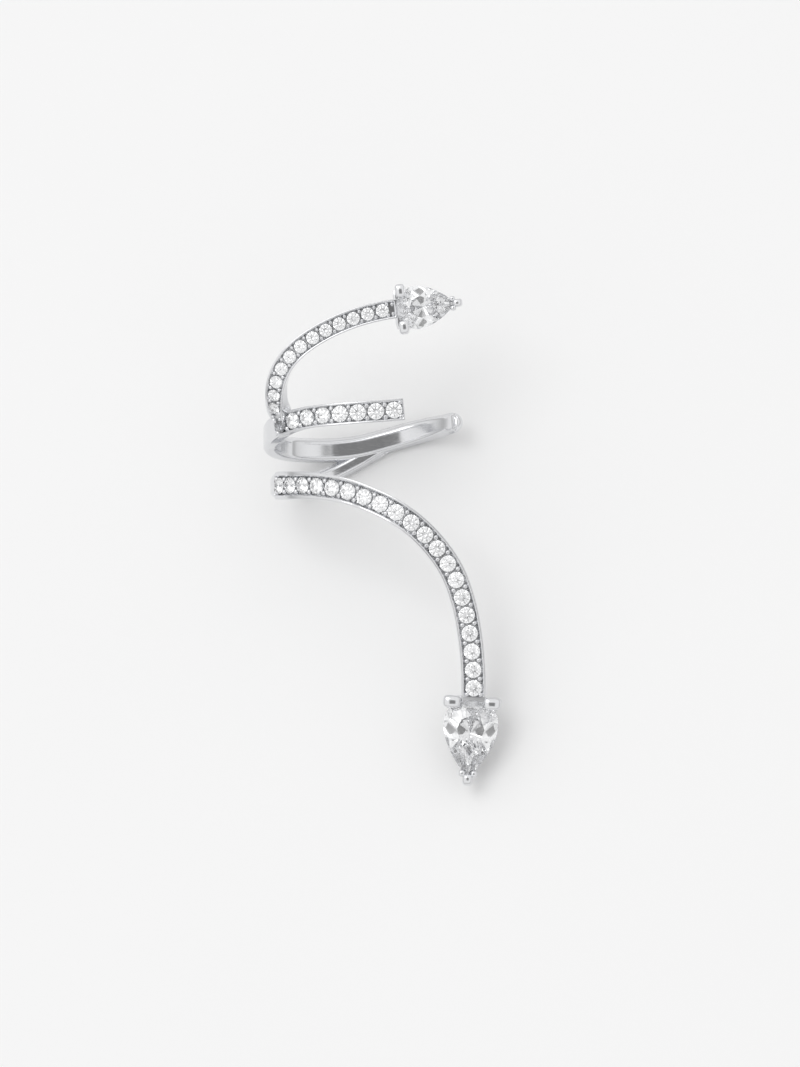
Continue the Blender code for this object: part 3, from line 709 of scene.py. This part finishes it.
def brilliants(row):
    """All the round stones of a row, as one mesh of separate cut stones. Stone number n is turned by n golden
    angles on its axis and leans by STONE_LEAN, in a way that goes with that angle, as if set by hand."""
    angle = 2 * math.pi * np.arange(ROUND_POINTS) / ROUND_POINTS
    girdle = np.stack([np.cos(angle), np.sin(angle)], axis=1) * row.size / 2
    points, faces = cut_stone(girdle, np.zeros(2), row.size, ROUND_CUT)
    middles, places = stone_places(row)
    run, side = places.run, places.side
    spin = (np.arange(row.count) * GOLDEN_ANGLE)[:, None]
    out = unit(places.out + STONE_LEAN * (run * np.cos(2 * spin) + side * np.sin(3 * spin)))
    first = unit(np.cross(out, side * np.cos(spin) - run * np.sin(spin)))
    placed = middles[:, None] + points @ np.stack([first, np.cross(out, first), out], axis=1)
    return placed.reshape(-1, 3), copied_faces(faces, row.count, len(points))


def pear_brilliant(pear):
    """A pear stone, cut over its outline, which is mirrored to run the same way round as a round girdle."""
    girdle = pear_outline(pear, PEAR_POINTS) * (1, -1)
    points, faces = cut_stone(girdle, pear_middle(pear), pear.wide, PEAR_CUT)
    return place_local(pear, points), faces


def clear_of_stone(pear, points):
    """Moves points that lie in the pear stone straight out from its middle to its surface. At a height h the
    stone fills the share 1 + h/pavilion of its girdle below, and 1 - CROWN_LOSS h/crown above, with h
    counted from its rim."""
    middle = pear_middle(pear)
    outline = pear_outline(pear, 4 * PEAR_POINTS) - middle
    angles = np.arctan2(outline[:, 1], outline[:, 0])
    order = np.argsort(angles)
    flat = points[:, :2] - middle
    way = np.arctan2(flat[:, 1], flat[:, 0])
    reach = np.interp(way, angles[order], np.hypot(*outline.T)[order], period=2 * math.pi)
    share = np.hypot(*flat.T) / reach
    crown = CROWN_SHARE * pear.wide
    height = points[:, 2]
    below = 1 + (height + CLEAR_RIM) / (PAVILION_SHARE * pear.wide)
    above = 1 - CROWN_LOSS * (height - CLEAR_RIM) / crown
    full = np.clip(np.where(height < 0, below, above), 0, 1) + CLEAR_SHARE
    full = np.where(height > crown + CLEAR_ABOVE, 0, full)
    grow = np.where(share < full, full / np.maximum(share, LEAST_SHARE), 1)
    return np.concatenate([middle + flat * grow[:, None], height[:, None]], axis=1)


def squircle(around, power):
    """Points of |x|^p + |y|^p = 1."""
    angle = 2 * math.pi * np.arange(around) / around
    x, y = np.cos(angle), np.sin(angle)
    return np.sign(x) * np.abs(x) ** (2 / power), np.sign(y) * np.abs(y) ** (2 / power)


def upright_block(pear, block, table, spot, hand=1):
    """A block beside the stone, from its foot up, that stands at a spot (along, side). Its section
    |x/a|^p + |y/b|^p = 1 moves and grows with the table's levels, and over the last cap of its height it
    closes as (1 - t^TOP_POWER)^(1/TOP_POWER). hand is the side that the table's side counts to."""
    size = pear.wide / SETTING_WIDE
    cap = block.cap * size
    reach, beyond, aside, share, height = np.array(table, float).T
    along = reach * spot[0] + beyond * size
    aside = reach * spot[1] + aside * hand * size
    levels = np.stack([along, aside, share, height * size], axis=1)
    foot, top = levels[0, 3], levels[-1, 3]
    low = np.linspace(foot, top - cap, BLOCK_UP)
    high = top - cap + cap * np.sin(np.linspace(0, math.pi / 2, BLOCK_TOP))[1:]
    along, aside, share, height = spline(levels[:, 3], levels, np.concatenate([low, high])).T[..., None]
    over = np.clip((height - top + cap) / cap, 0, 1)
    share = share * np.maximum(1 - over**TOP_POWER, LEAST_SHARE) ** (1 / TOP_POWER)
    x, y = squircle(BLOCK_AROUND, block.power)
    along = along + share * x * block.half_long * size
    aside = aside + share * y * block.half_wide * size
    points = clear_of_stone(pear, np.stack([along, aside, height + 0 * x], axis=-1).reshape(-1, 3))
    return place_local(pear, points), tube_faces(len(height), BLOCK_AROUND)


def shoulder_claw(pear, hand):
    """A claw at the stone's shoulder. It stands CLAW_OUT outside the girdle, claw_turn from the back."""
    way = math.radians(180 - hand * pear.claw_turn)
    reach = pear.wide / 2 + CLAW_OUT * pear.wide / SETTING_WIDE
    spot = (reach * math.cos(way), reach * math.sin(way))
    return upright_block(pear, SHOULDER_CLAW, SHOULDER_LEVELS, spot)


def point_claw(pear):
    """The nub of the claw over the stone's point: it leans out from under the stone to just beyond it."""
    return upright_block(pear, POINT_CLAW, POINT_LEVELS, (pear.long - pear.wide / 2, 0))


def point_arm(pear, hand):
    """One arm of the claw over the point: a low block that lies along the stone's edge."""
    return upright_block(pear, POINT_ARM, POINT_ARM_LEVELS, (pear.long - pear.wide / 2, 0), hand)


def collar_bar(pear):
    """The collar: a block from shoulder claw to shoulder claw that the arm runs into. Its top edge is as
    sharp on either stone."""
    size = pear.wide / SETTING_WIDE
    middle = COLLAR.half_long * size - pear.wide / 2 - COLLAR_BACK
    return upright_block(pear, COLLAR._replace(cap=COLLAR.cap / size), COLLAR_LEVELS, (middle, 0))


def gallery_ring(pear):
    """The ring under a pear stone: a rounded bar along GALLERY_SHARE of the girdle's outline about its
    middle, with the outline's point rounded by the mean of three neighbours."""
    size = pear.wide / SETTING_WIDE
    middle = pear_middle(pear)
    ring = middle + (pear_outline(pear, GALLERY_ALONG) - middle) * GALLERY_SHARE
    ring = (np.roll(ring, 1, axis=0) + ring + np.roll(ring, -1, axis=0)) / 3
    way = unit(np.roll(ring, -1, axis=0) - np.roll(ring, 1, axis=0))
    outward = np.stack([way[:, 1], -way[:, 0]], axis=1)
    outward *= np.sign(np.sum(outward * (ring - middle), axis=1, keepdims=True))
    x, z = squircle(GALLERY_AROUND, GALLERY_POWER)
    flat = ring[:, None] + outward[:, None] * (x * GALLERY_HALF_THICK * size)[None, :, None]
    height = np.broadcast_to((GALLERY_HEIGHT + z * GALLERY_HALF_HIGH) * size, flat.shape[:2])[..., None]
    points = clear_of_stone(pear, np.concatenate([flat, height], axis=-1).reshape(-1, 3))
    return place_local(pear, points), [grid_faces(GALLERY_ALONG, GALLERY_AROUND, ring=True)]


def setting_parts(pear):
    """A pear's whole setting: gallery ring, collar, two shoulder claws and the claw over the point."""
    parts = [gallery_ring(pear), collar_bar(pear), point_claw(pear)]
    for hand in (-1, 1):
        parts += [shoulder_claw(pear, hand), point_arm(pear, hand)]
    return parts


def fill(tree, made, values):
    """Gives a node its values by name: a socket is linked to, and anything else is set."""
    for name, value in values.items():
        if name not in made.inputs:
            setattr(made, name, value)
        elif isinstance(value, bpy.types.NodeSocket):
            tree.links.new(value, made.inputs[name])
        else:
            made.inputs[name].default_value = value
    return made


def node(tree, kind, **values):
    """A new node with its values."""
    return fill(tree, tree.nodes.new(kind), values)


def ramp(tree, fac, stops):
    """A colour ramp over fac, with stops of (position, grey or colour)."""
    made = node(tree, "ShaderNodeValToRGB", Fac=fac)
    for number, (position, value) in enumerate(stops):
        stop = made.color_ramp.elements[number] if number < 2 else made.color_ramp.elements.new(position)
        stop.position = position
        stop.color = (*value, 1.0) if isinstance(value, tuple) else (value, value, value, 1.0)
    return made.outputs["Color"]


def clouded(tree, colour, scale, detail, darker, low, high):
    """A colour with faint clouds on Object coordinates, from darker of it at noise low to all at high."""
    place = node(tree, "ShaderNodeTexCoord").outputs["Object"]
    clouds = node(tree, "ShaderNodeTexNoise", Scale=scale, Detail=detail, Vector=place)
    dark = tuple(c * darker for c in colour)
    return ramp(tree, clouds.outputs["Fac"], ((low, dark), (high, tuple(colour))))


def surface(name):
    """A new material with its node tree and its Principled shader."""
    material = bpy.data.materials.new(name)
    material.use_nodes = True
    return material, material.node_tree, material.node_tree.nodes["Principled BSDF"]


def cuff_metal():
    """Polished white metal: faint clouds in its tone, shade painted into the cuts as a greyer colour that
    grows with depth, and fine buffing lines in its shine and its relief."""
    name = "white_metal"
    if name in bpy.data.materials:
        return bpy.data.materials[name]
    finish = bpy.context.scene.cuff_finish
    material, tree, shader = surface(name)
    tone = clouded(tree, finish.metal, scale=620.0, detail=3.0, darker=0.955, low=0.3, high=0.7)
    # Painted shade: the deeper a point lies in a cut, the more its colour goes to the darker grey of the cut
    # shade
    depth = node(tree, "ShaderNodeAttribute", attribute_name="recess")
    cut_shade_mix = node(tree, "ShaderNodeMix", data_type="RGBA", Factor=depth.outputs["Fac"])
    tree.links.new(tone, cut_shade_mix.inputs[6])
    cut_shade_mix.inputs[7].default_value = (*finish.recess, 1.0)
    place = node(tree, "ShaderNodeTexCoord").outputs["Object"]
    stretch = node(tree, "ShaderNodeMapping", Scale=(1.0, 7.0, 3.0), Rotation=(0.3, 0.5, 0.9), Vector=place)
    lines = node(tree, "ShaderNodeTexNoise", Scale=2600.0, Detail=4.0, Vector=stretch.outputs["Vector"])
    shine = ramp(tree, lines.outputs["Fac"], ((0.35, finish.polish), (0.75, finish.wear)))
    bump = node(tree, "ShaderNodeBump", Strength=0.05, Distance=0.00001, Height=lines.outputs["Fac"])
    fill(tree, shader, {"Metallic": 1.0, "Roughness": shine})
    fill(tree, shader, {"Base Color": cut_shade_mix.outputs[2], "Normal": bump.outputs["Normal"]})
    return material


def cuff_stone():
    """Colourless stone: it bends light as diamond does, with a faint cloudiness in its tone."""
    name = "colourless_stone"
    if name in bpy.data.materials:
        return bpy.data.materials[name]
    finish = bpy.context.scene.cuff_finish
    material, tree, shader = surface(name)
    tone = clouded(tree, finish.stone, scale=900.0, detail=2.0, darker=0.985, low=0.35, high=0.65)
    fill(tree, shader, {"Metallic": 0.0, "Roughness": 0.0, "IOR": finish.bend})
    fill(tree, shader, {"Base Color": tone, "Transmission Weight": 1.0})
    return material


class CuffFinish(bpy.types.PropertyGroup):
    """Colours and polish of the cuff."""

    metal: FloatVectorProperty(
        name="Metal", description="Colour of the white metal",
        subtype="COLOR", default=(0.79, 0.795, 0.81), min=0, max=1,
    )
    # Colour of the shade painted deep into the bright cuts
    recess: FloatVectorProperty(
        name="Cuts", description="Colour of the metal deep in the bright cuts",
        subtype="COLOR", default=(0.58, 0.585, 0.595), min=0, max=1,
    )
    polish: FloatProperty(
        name="Polish", description="Roughness of the best polished metal",
        subtype="FACTOR", default=0.08, min=0, max=1,
    )
    wear: FloatProperty(
        name="Wear", description="Roughness along the buffing lines",
        subtype="FACTOR", default=0.20, min=0, max=1,
    )
    stone: FloatVectorProperty(
        name="Stone", description="Colour of the clear stones",
        subtype="COLOR", default=(0.985, 0.99, 1.0), min=0, max=1,
    )
    bend: FloatProperty(
        name="Bend", description="How strongly the stones bend light (index of refraction)",
        default=2.42, min=1.3, max=2.7,
    )


class CuffForm(bpy.types.PropertyGroup):
    """Sizes of the fine work, in millimetres."""

    row_step: FloatProperty(
        name="Row step", description="Distance between rows over the stones", default=0.05, min=0.02, max=0.5,
    )
    plain_step: FloatProperty(
        name="Plain step", description="Distance between rows on plain metal",
        default=0.12, min=0.02, max=0.5,
    )
    bead: FloatProperty(name="Bead", description="Radius of a bead prong", default=0.185, min=0.05, max=0.4)
    small_bead: FloatProperty(
        name="Small bead", description="Radius of a bead prong of the upper arm",
        default=0.15, min=0.05, max=0.4,
    )
    face_points: IntProperty(
        name="Face points", description="Points across the face of a bar", default=38, min=8, max=120,
    )


class CuffStage(bpy.types.PropertyGroup):
    """The floor, the light and the camera."""

    floor: FloatVectorProperty(
        name="Floor", description="Colour of the floor",
        subtype="COLOR", default=(0.89, 0.89, 0.89), min=0, max=1,
    )
    sky: FloatProperty(name="Sky", description="Strength of the light from all round", default=0.97, min=0)
    front: FloatProperty(
        name="Front", description="Share of the light left in the round dark patch before the cuff",
        subtype="FACTOR", default=0.25, min=0, max=1,
    )
    key: FloatProperty(
        name="Key light", description="Power of the main soft light, in watts", default=3.0, min=0,
    )
    key_far: FloatProperty(
        name="Key distance", description="How far off the main light stands",
        subtype="DISTANCE", unit="LENGTH", default=1.25,
    )
    turns: IntProperty(
        name="Turns", description="How many times light may be turned within the stones",
        default=20, min=4, max=64,
    )
    distance: FloatProperty(
        name="Distance", description="How far off the camera stands",
        subtype="DISTANCE", unit="LENGTH", default=0.5,
    )
    lens: FloatProperty(
        name="Lens", description="Focal length of the camera",
        subtype="DISTANCE_CAMERA", unit="CAMERA", default=225.0,
    )


class CUFF_OT_clip(bpy.types.Operator):
    """The C-shaped clip: a bright-cut front bar that turns into a smooth band with a rounded tip"""

    bl_idname = "cuff.clip"
    bl_label = "Clip"

    def execute(self, context):
        form = context.scene.cuff_form
        row = STONE_ROWS["clip"]
        bar = Bar(row.stations)
        end = bar.length
        last = stone_lines(row)[-1]
        stretches = (
            (0.0, FRONT_END, FRONT_END_STEP),
            (FRONT_END, last + BEYOND_LAST, form.row_step),
            (last + BEYOND_LAST, end - NEAR_TIP, form.plain_step),
            (end - NEAR_TIP, end - TIP, NEAR_TIP_STEP),
            (end - TIP, end, TIP_STEP),
        )
        along = bar_lines(bar, stretches)
        plain = rise(along, last + BAND_STARTS, CLIP_CHANGE)
        tip = rise(along, end - TIP_STARTS, CLIP_CHANGE)
        edge = blend(PAVE_EDGE, BAND_EDGE, plain) + (TIP_EDGE - BAND_EDGE) * tip
        back = np.minimum(blend(PAVE_BACK, BAND_BACK, plain), bar.at(along).deep - edge - EDGES_APART)
        near_start = 1 - np.clip(along / FRONT_END_GROWS, 0, 1)
        near_end = 1 - np.clip((end - along)[:, None] / TIP_CLOSES, 0, 1)
        shrink = blend(FRONT_END_SHARE, 1, np.sqrt(1 - near_start**2))[:, None]
        shrink = shrink * np.maximum(1 - near_end**TIP_POWER, LEAST_SHARE) ** (1 / TIP_POWER)
        bar_piece("clip_metal", bar, row, along, edge, back, shrink[:, None])
        return {"FINISHED"}


class CUFF_OT_lower_arm(bpy.types.Operator):
    """The lower arm: a bright-cut bar down to the pear stone, and the plain strip behind it"""

    bl_idname = "cuff.lower_arm"
    bl_label = "Lower arm"

    def execute(self, context):
        form = context.scene.cuff_form
        row = STONE_ROWS["lower"]
        bar = Bar(row.stations)
        first = stone_lines(row)[0]
        close = first - BEFORE_FIRST
        along = bar_lines(bar, ((0.0, close, form.plain_step), (close, bar.length, form.row_step)))
        plain = 1 - rise(along, first - STRIP_ENDS, ARM_CHANGE)
        edge = blend(PAVE_EDGE, STRIP_EDGE, plain)
        back = np.minimum(blend(PAVE_BACK, STRIP_BACK, plain), bar.at(along).deep * BACK_SHARE)
        bar_piece("lower_arm_metal", bar, row, along, edge, back)
        return {"FINISHED"}


class CUFF_OT_upper_arm(bpy.types.Operator):
    """The upper arm: a slimmer bright-cut bar from the clip's left bend up to its pear stone"""

    bl_idname = "cuff.upper_arm"
    bl_label = "Upper arm"

    def execute(self, context):
        row = STONE_ROWS["upper"]
        bar = Bar(row.stations)
        along = bar_lines(bar, ((0.0, bar.length, context.scene.cuff_form.row_step),))
        edge = np.full_like(along, SMALL_EDGE)
        back = np.minimum(SMALL_BACK, bar.at(along).deep * BACK_SHARE)
        bar_piece("upper_arm_metal", bar, row, along, edge, back, more=UPPER_TROUGH_MORE)
        return {"FINISHED"}


class CUFF_OT_beads(bpy.types.Operator):
    """The bead prongs that hold the round stones"""

    bl_idname = "cuff.beads"
    bl_label = "Beads"

    def execute(self, context):
        form = context.scene.cuff_form
        for name, row in STONE_ROWS.items():
            radius = form.small_bead if name == "upper" else form.bead
            points, faces = row_beads(row, radius, FURTHER_BEADS.get(name))
            metal_piece(f"{row.name.replace('_stone', '')}_beads", points, faces, BEAD_SMOOTH)
        return {"FINISHED"}


class CUFF_OT_settings(bpy.types.Operator):
    """The claw settings of the two pear stones"""

    bl_idname = "cuff.settings"
    bl_label = "Claw settings"

    def execute(self, context):
        for name, pear in PEARS.items():
            points, faces = merged(setting_parts(pear))
            metal_piece(f"{name}_pear_setting", points, faces, SETTING_SMOOTH)
        return {"FINISHED"}


class CUFF_OT_stones(bpy.types.Operator):
    """The cut stones: three rows of round brilliants and two pear brilliants"""

    bl_idname = "cuff.stones"
    bl_label = "Cut stones"

    def execute(self, context):
        for row in STONE_ROWS.values():
            piece = stone_piece(f"{row.name}s", *brilliants(row))
            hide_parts(*(f"{row.name}_{number + 1:02d}" for number in range(row.count)))
        for name, pear in PEARS.items():
            piece = stone_piece(f"{name}_pear_brilliant", *pear_brilliant(pear))
            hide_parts(pear.name)
        return {"FINISHED"}


def paper_floor(scene, colour):
    """A wide square of pale paper at the height 0."""
    mesh = bpy.data.meshes.new("floor")
    corners = np.array([(-1, -1, 0), (1, -1, 0), (1, 1, 0), (-1, 1, 0)]) * FLOOR_HALF
    mesh.from_pydata(corners.tolist(), [], [(0, 1, 2, 3)])
    floor = bpy.data.objects.new("floor", mesh)
    scene.collection.objects.link(floor)
    paper, tree, shader = surface("paper")
    tone = clouded(tree, colour, scale=30.0, detail=2.0, darker=0.995, low=0.3, high=0.7)
    fill(tree, shader, {"Base Color": tone, "Roughness": 0.9, "Specular IOR Level": 0.1})
    mesh.materials.append(paper)


def studio_world(scene, toward, sky, front):
    """A pale studio all round: bands of light by height, times a round darker patch where the camera is."""
    world = bpy.data.worlds.new("studio")
    scene.world = world
    world.use_nodes = True
    tree = world.node_tree
    way = node(tree, "ShaderNodeTexCoord").outputs["Generated"]
    split = node(tree, "ShaderNodeSeparateXYZ", Vector=way)
    bands = ramp(tree, split.outputs["Z"], STUDIO_BANDS)
    ahead = node(tree, "ShaderNodeVectorMath", operation="DOT_PRODUCT")
    tree.links.new(way, ahead.inputs[0])
    ahead.inputs[1].default_value = toward
    patch = ramp(tree, ahead.outputs["Value"], ((PATCH_STARTS, 1.0), (PATCH_FULL, front)))
    both = node(tree, "ShaderNodeVectorMath", operation="MULTIPLY")
    tree.links.new(bands, both.inputs[0])
    tree.links.new(patch, both.inputs[1])
    fill(tree, tree.nodes["Background"], {"Color": both.outputs["Vector"], "Strength": sky})


def key_light(scene, spot, power):
    """A square area light at a spot, facing the origin."""
    lamp = bpy.data.lights.new("key", "AREA")
    lamp.shape = "RECTANGLE"
    lamp.size = lamp.size_y = KEY_SIDE
    lamp.energy = power
    light = bpy.data.objects.new("key", lamp)
    scene.collection.objects.link(light)
    light.location = spot
    light.rotation_euler = (-Vector(spot)).to_track_quat("-Z", "Y").to_euler()


def front_camera(scene, toward, distance, lens):
    """A camera that looks straight at the front view, with up in the front view upright in the picture."""
    up = TURN @ (0.0, 1.0, 0.0)
    axes = np.stack([np.cross(up, toward), up, toward], axis=1)
    spot = (TURN @ VIEW_MIDDLE + SHIFT) * MM + toward * distance
    data = bpy.data.cameras.new("camera")
    data.lens = lens
    data.sensor_width = SENSOR
    data.clip_start = 0.01
    data.clip_end = 20.0
    camera = bpy.data.objects.new("camera", data)
    scene.collection.objects.link(camera)
    camera.matrix_world = Matrix([*np.column_stack([axes, spot]).tolist(), [0, 0, 0, 1]])
    scene.camera = camera


class CUFF_OT_stage(bpy.types.Operator):
    """The pale floor, the soft studio light and the camera"""

    bl_idname = "cuff.stage"
    bl_label = "Stage"

    def execute(self, context):
        scene = context.scene
        stage = scene.cuff_stage
        toward = TURN @ (0.0, 0.0, 1.0)
        paper_floor(scene, stage.floor)
        studio_world(scene, toward, stage.sky, stage.front)
        key_light(scene, TURN @ KEY_WAY * stage.key_far, stage.key)
        scene.view_settings.view_transform = "Standard"
        scene.cycles.max_bounces = scene.cycles.glossy_bounces = stage.turns
        scene.cycles.transmission_bounces = stage.turns
        front_camera(scene, toward, stage.distance, stage.lens)
        return {"FINISHED"}


class CUFF_PT_panel(bpy.types.Panel):
    """Lists the cuff's pieces and their sizes"""

    bl_label = "Ear Cuff"
    bl_idname = "CUFF_PT_panel"
    bl_space_type = "VIEW_3D"
    bl_region_type = "UI"
    bl_category = "Ear Cuff"

    def draw(self, context):
        for group in (context.scene.cuff_form, context.scene.cuff_finish, context.scene.cuff_stage):
            box = self.layout.box()
            for name in group.bl_rna.properties.keys():
                if name not in ("rna_type", "name"):
                    box.prop(group, name)
        for operator in PIECES:
            self.layout.operator(operator.bl_idname)


GROUPS = {"cuff_finish": CuffFinish, "cuff_form": CuffForm, "cuff_stage": CuffStage}
PIECES = (
    CUFF_OT_clip, CUFF_OT_lower_arm, CUFF_OT_upper_arm, CUFF_OT_beads,
    CUFF_OT_settings, CUFF_OT_stones, CUFF_OT_stage,
)


def register():
    for kind in (*GROUPS.values(), *PIECES, CUFF_PT_panel):
        bpy.utils.register_class(kind)
    for name, kind in GROUPS.items():
        setattr(bpy.types.Scene, name, PointerProperty(type=kind))


def unregister():
    for name in GROUPS:
        delattr(bpy.types.Scene, name)
    for kind in (CUFF_PT_panel, *reversed(PIECES), *reversed(GROUPS.values())):
        bpy.utils.unregister_class(kind)


def main():
    register()
    for operator in (
        bpy.ops.cuff.clip, bpy.ops.cuff.lower_arm, bpy.ops.cuff.upper_arm, bpy.ops.cuff.beads,
        bpy.ops.cuff.settings, bpy.ops.cuff.stones, bpy.ops.cuff.stage,
    ):
        operator()
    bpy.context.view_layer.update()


if __name__ == "__main__":
    main()
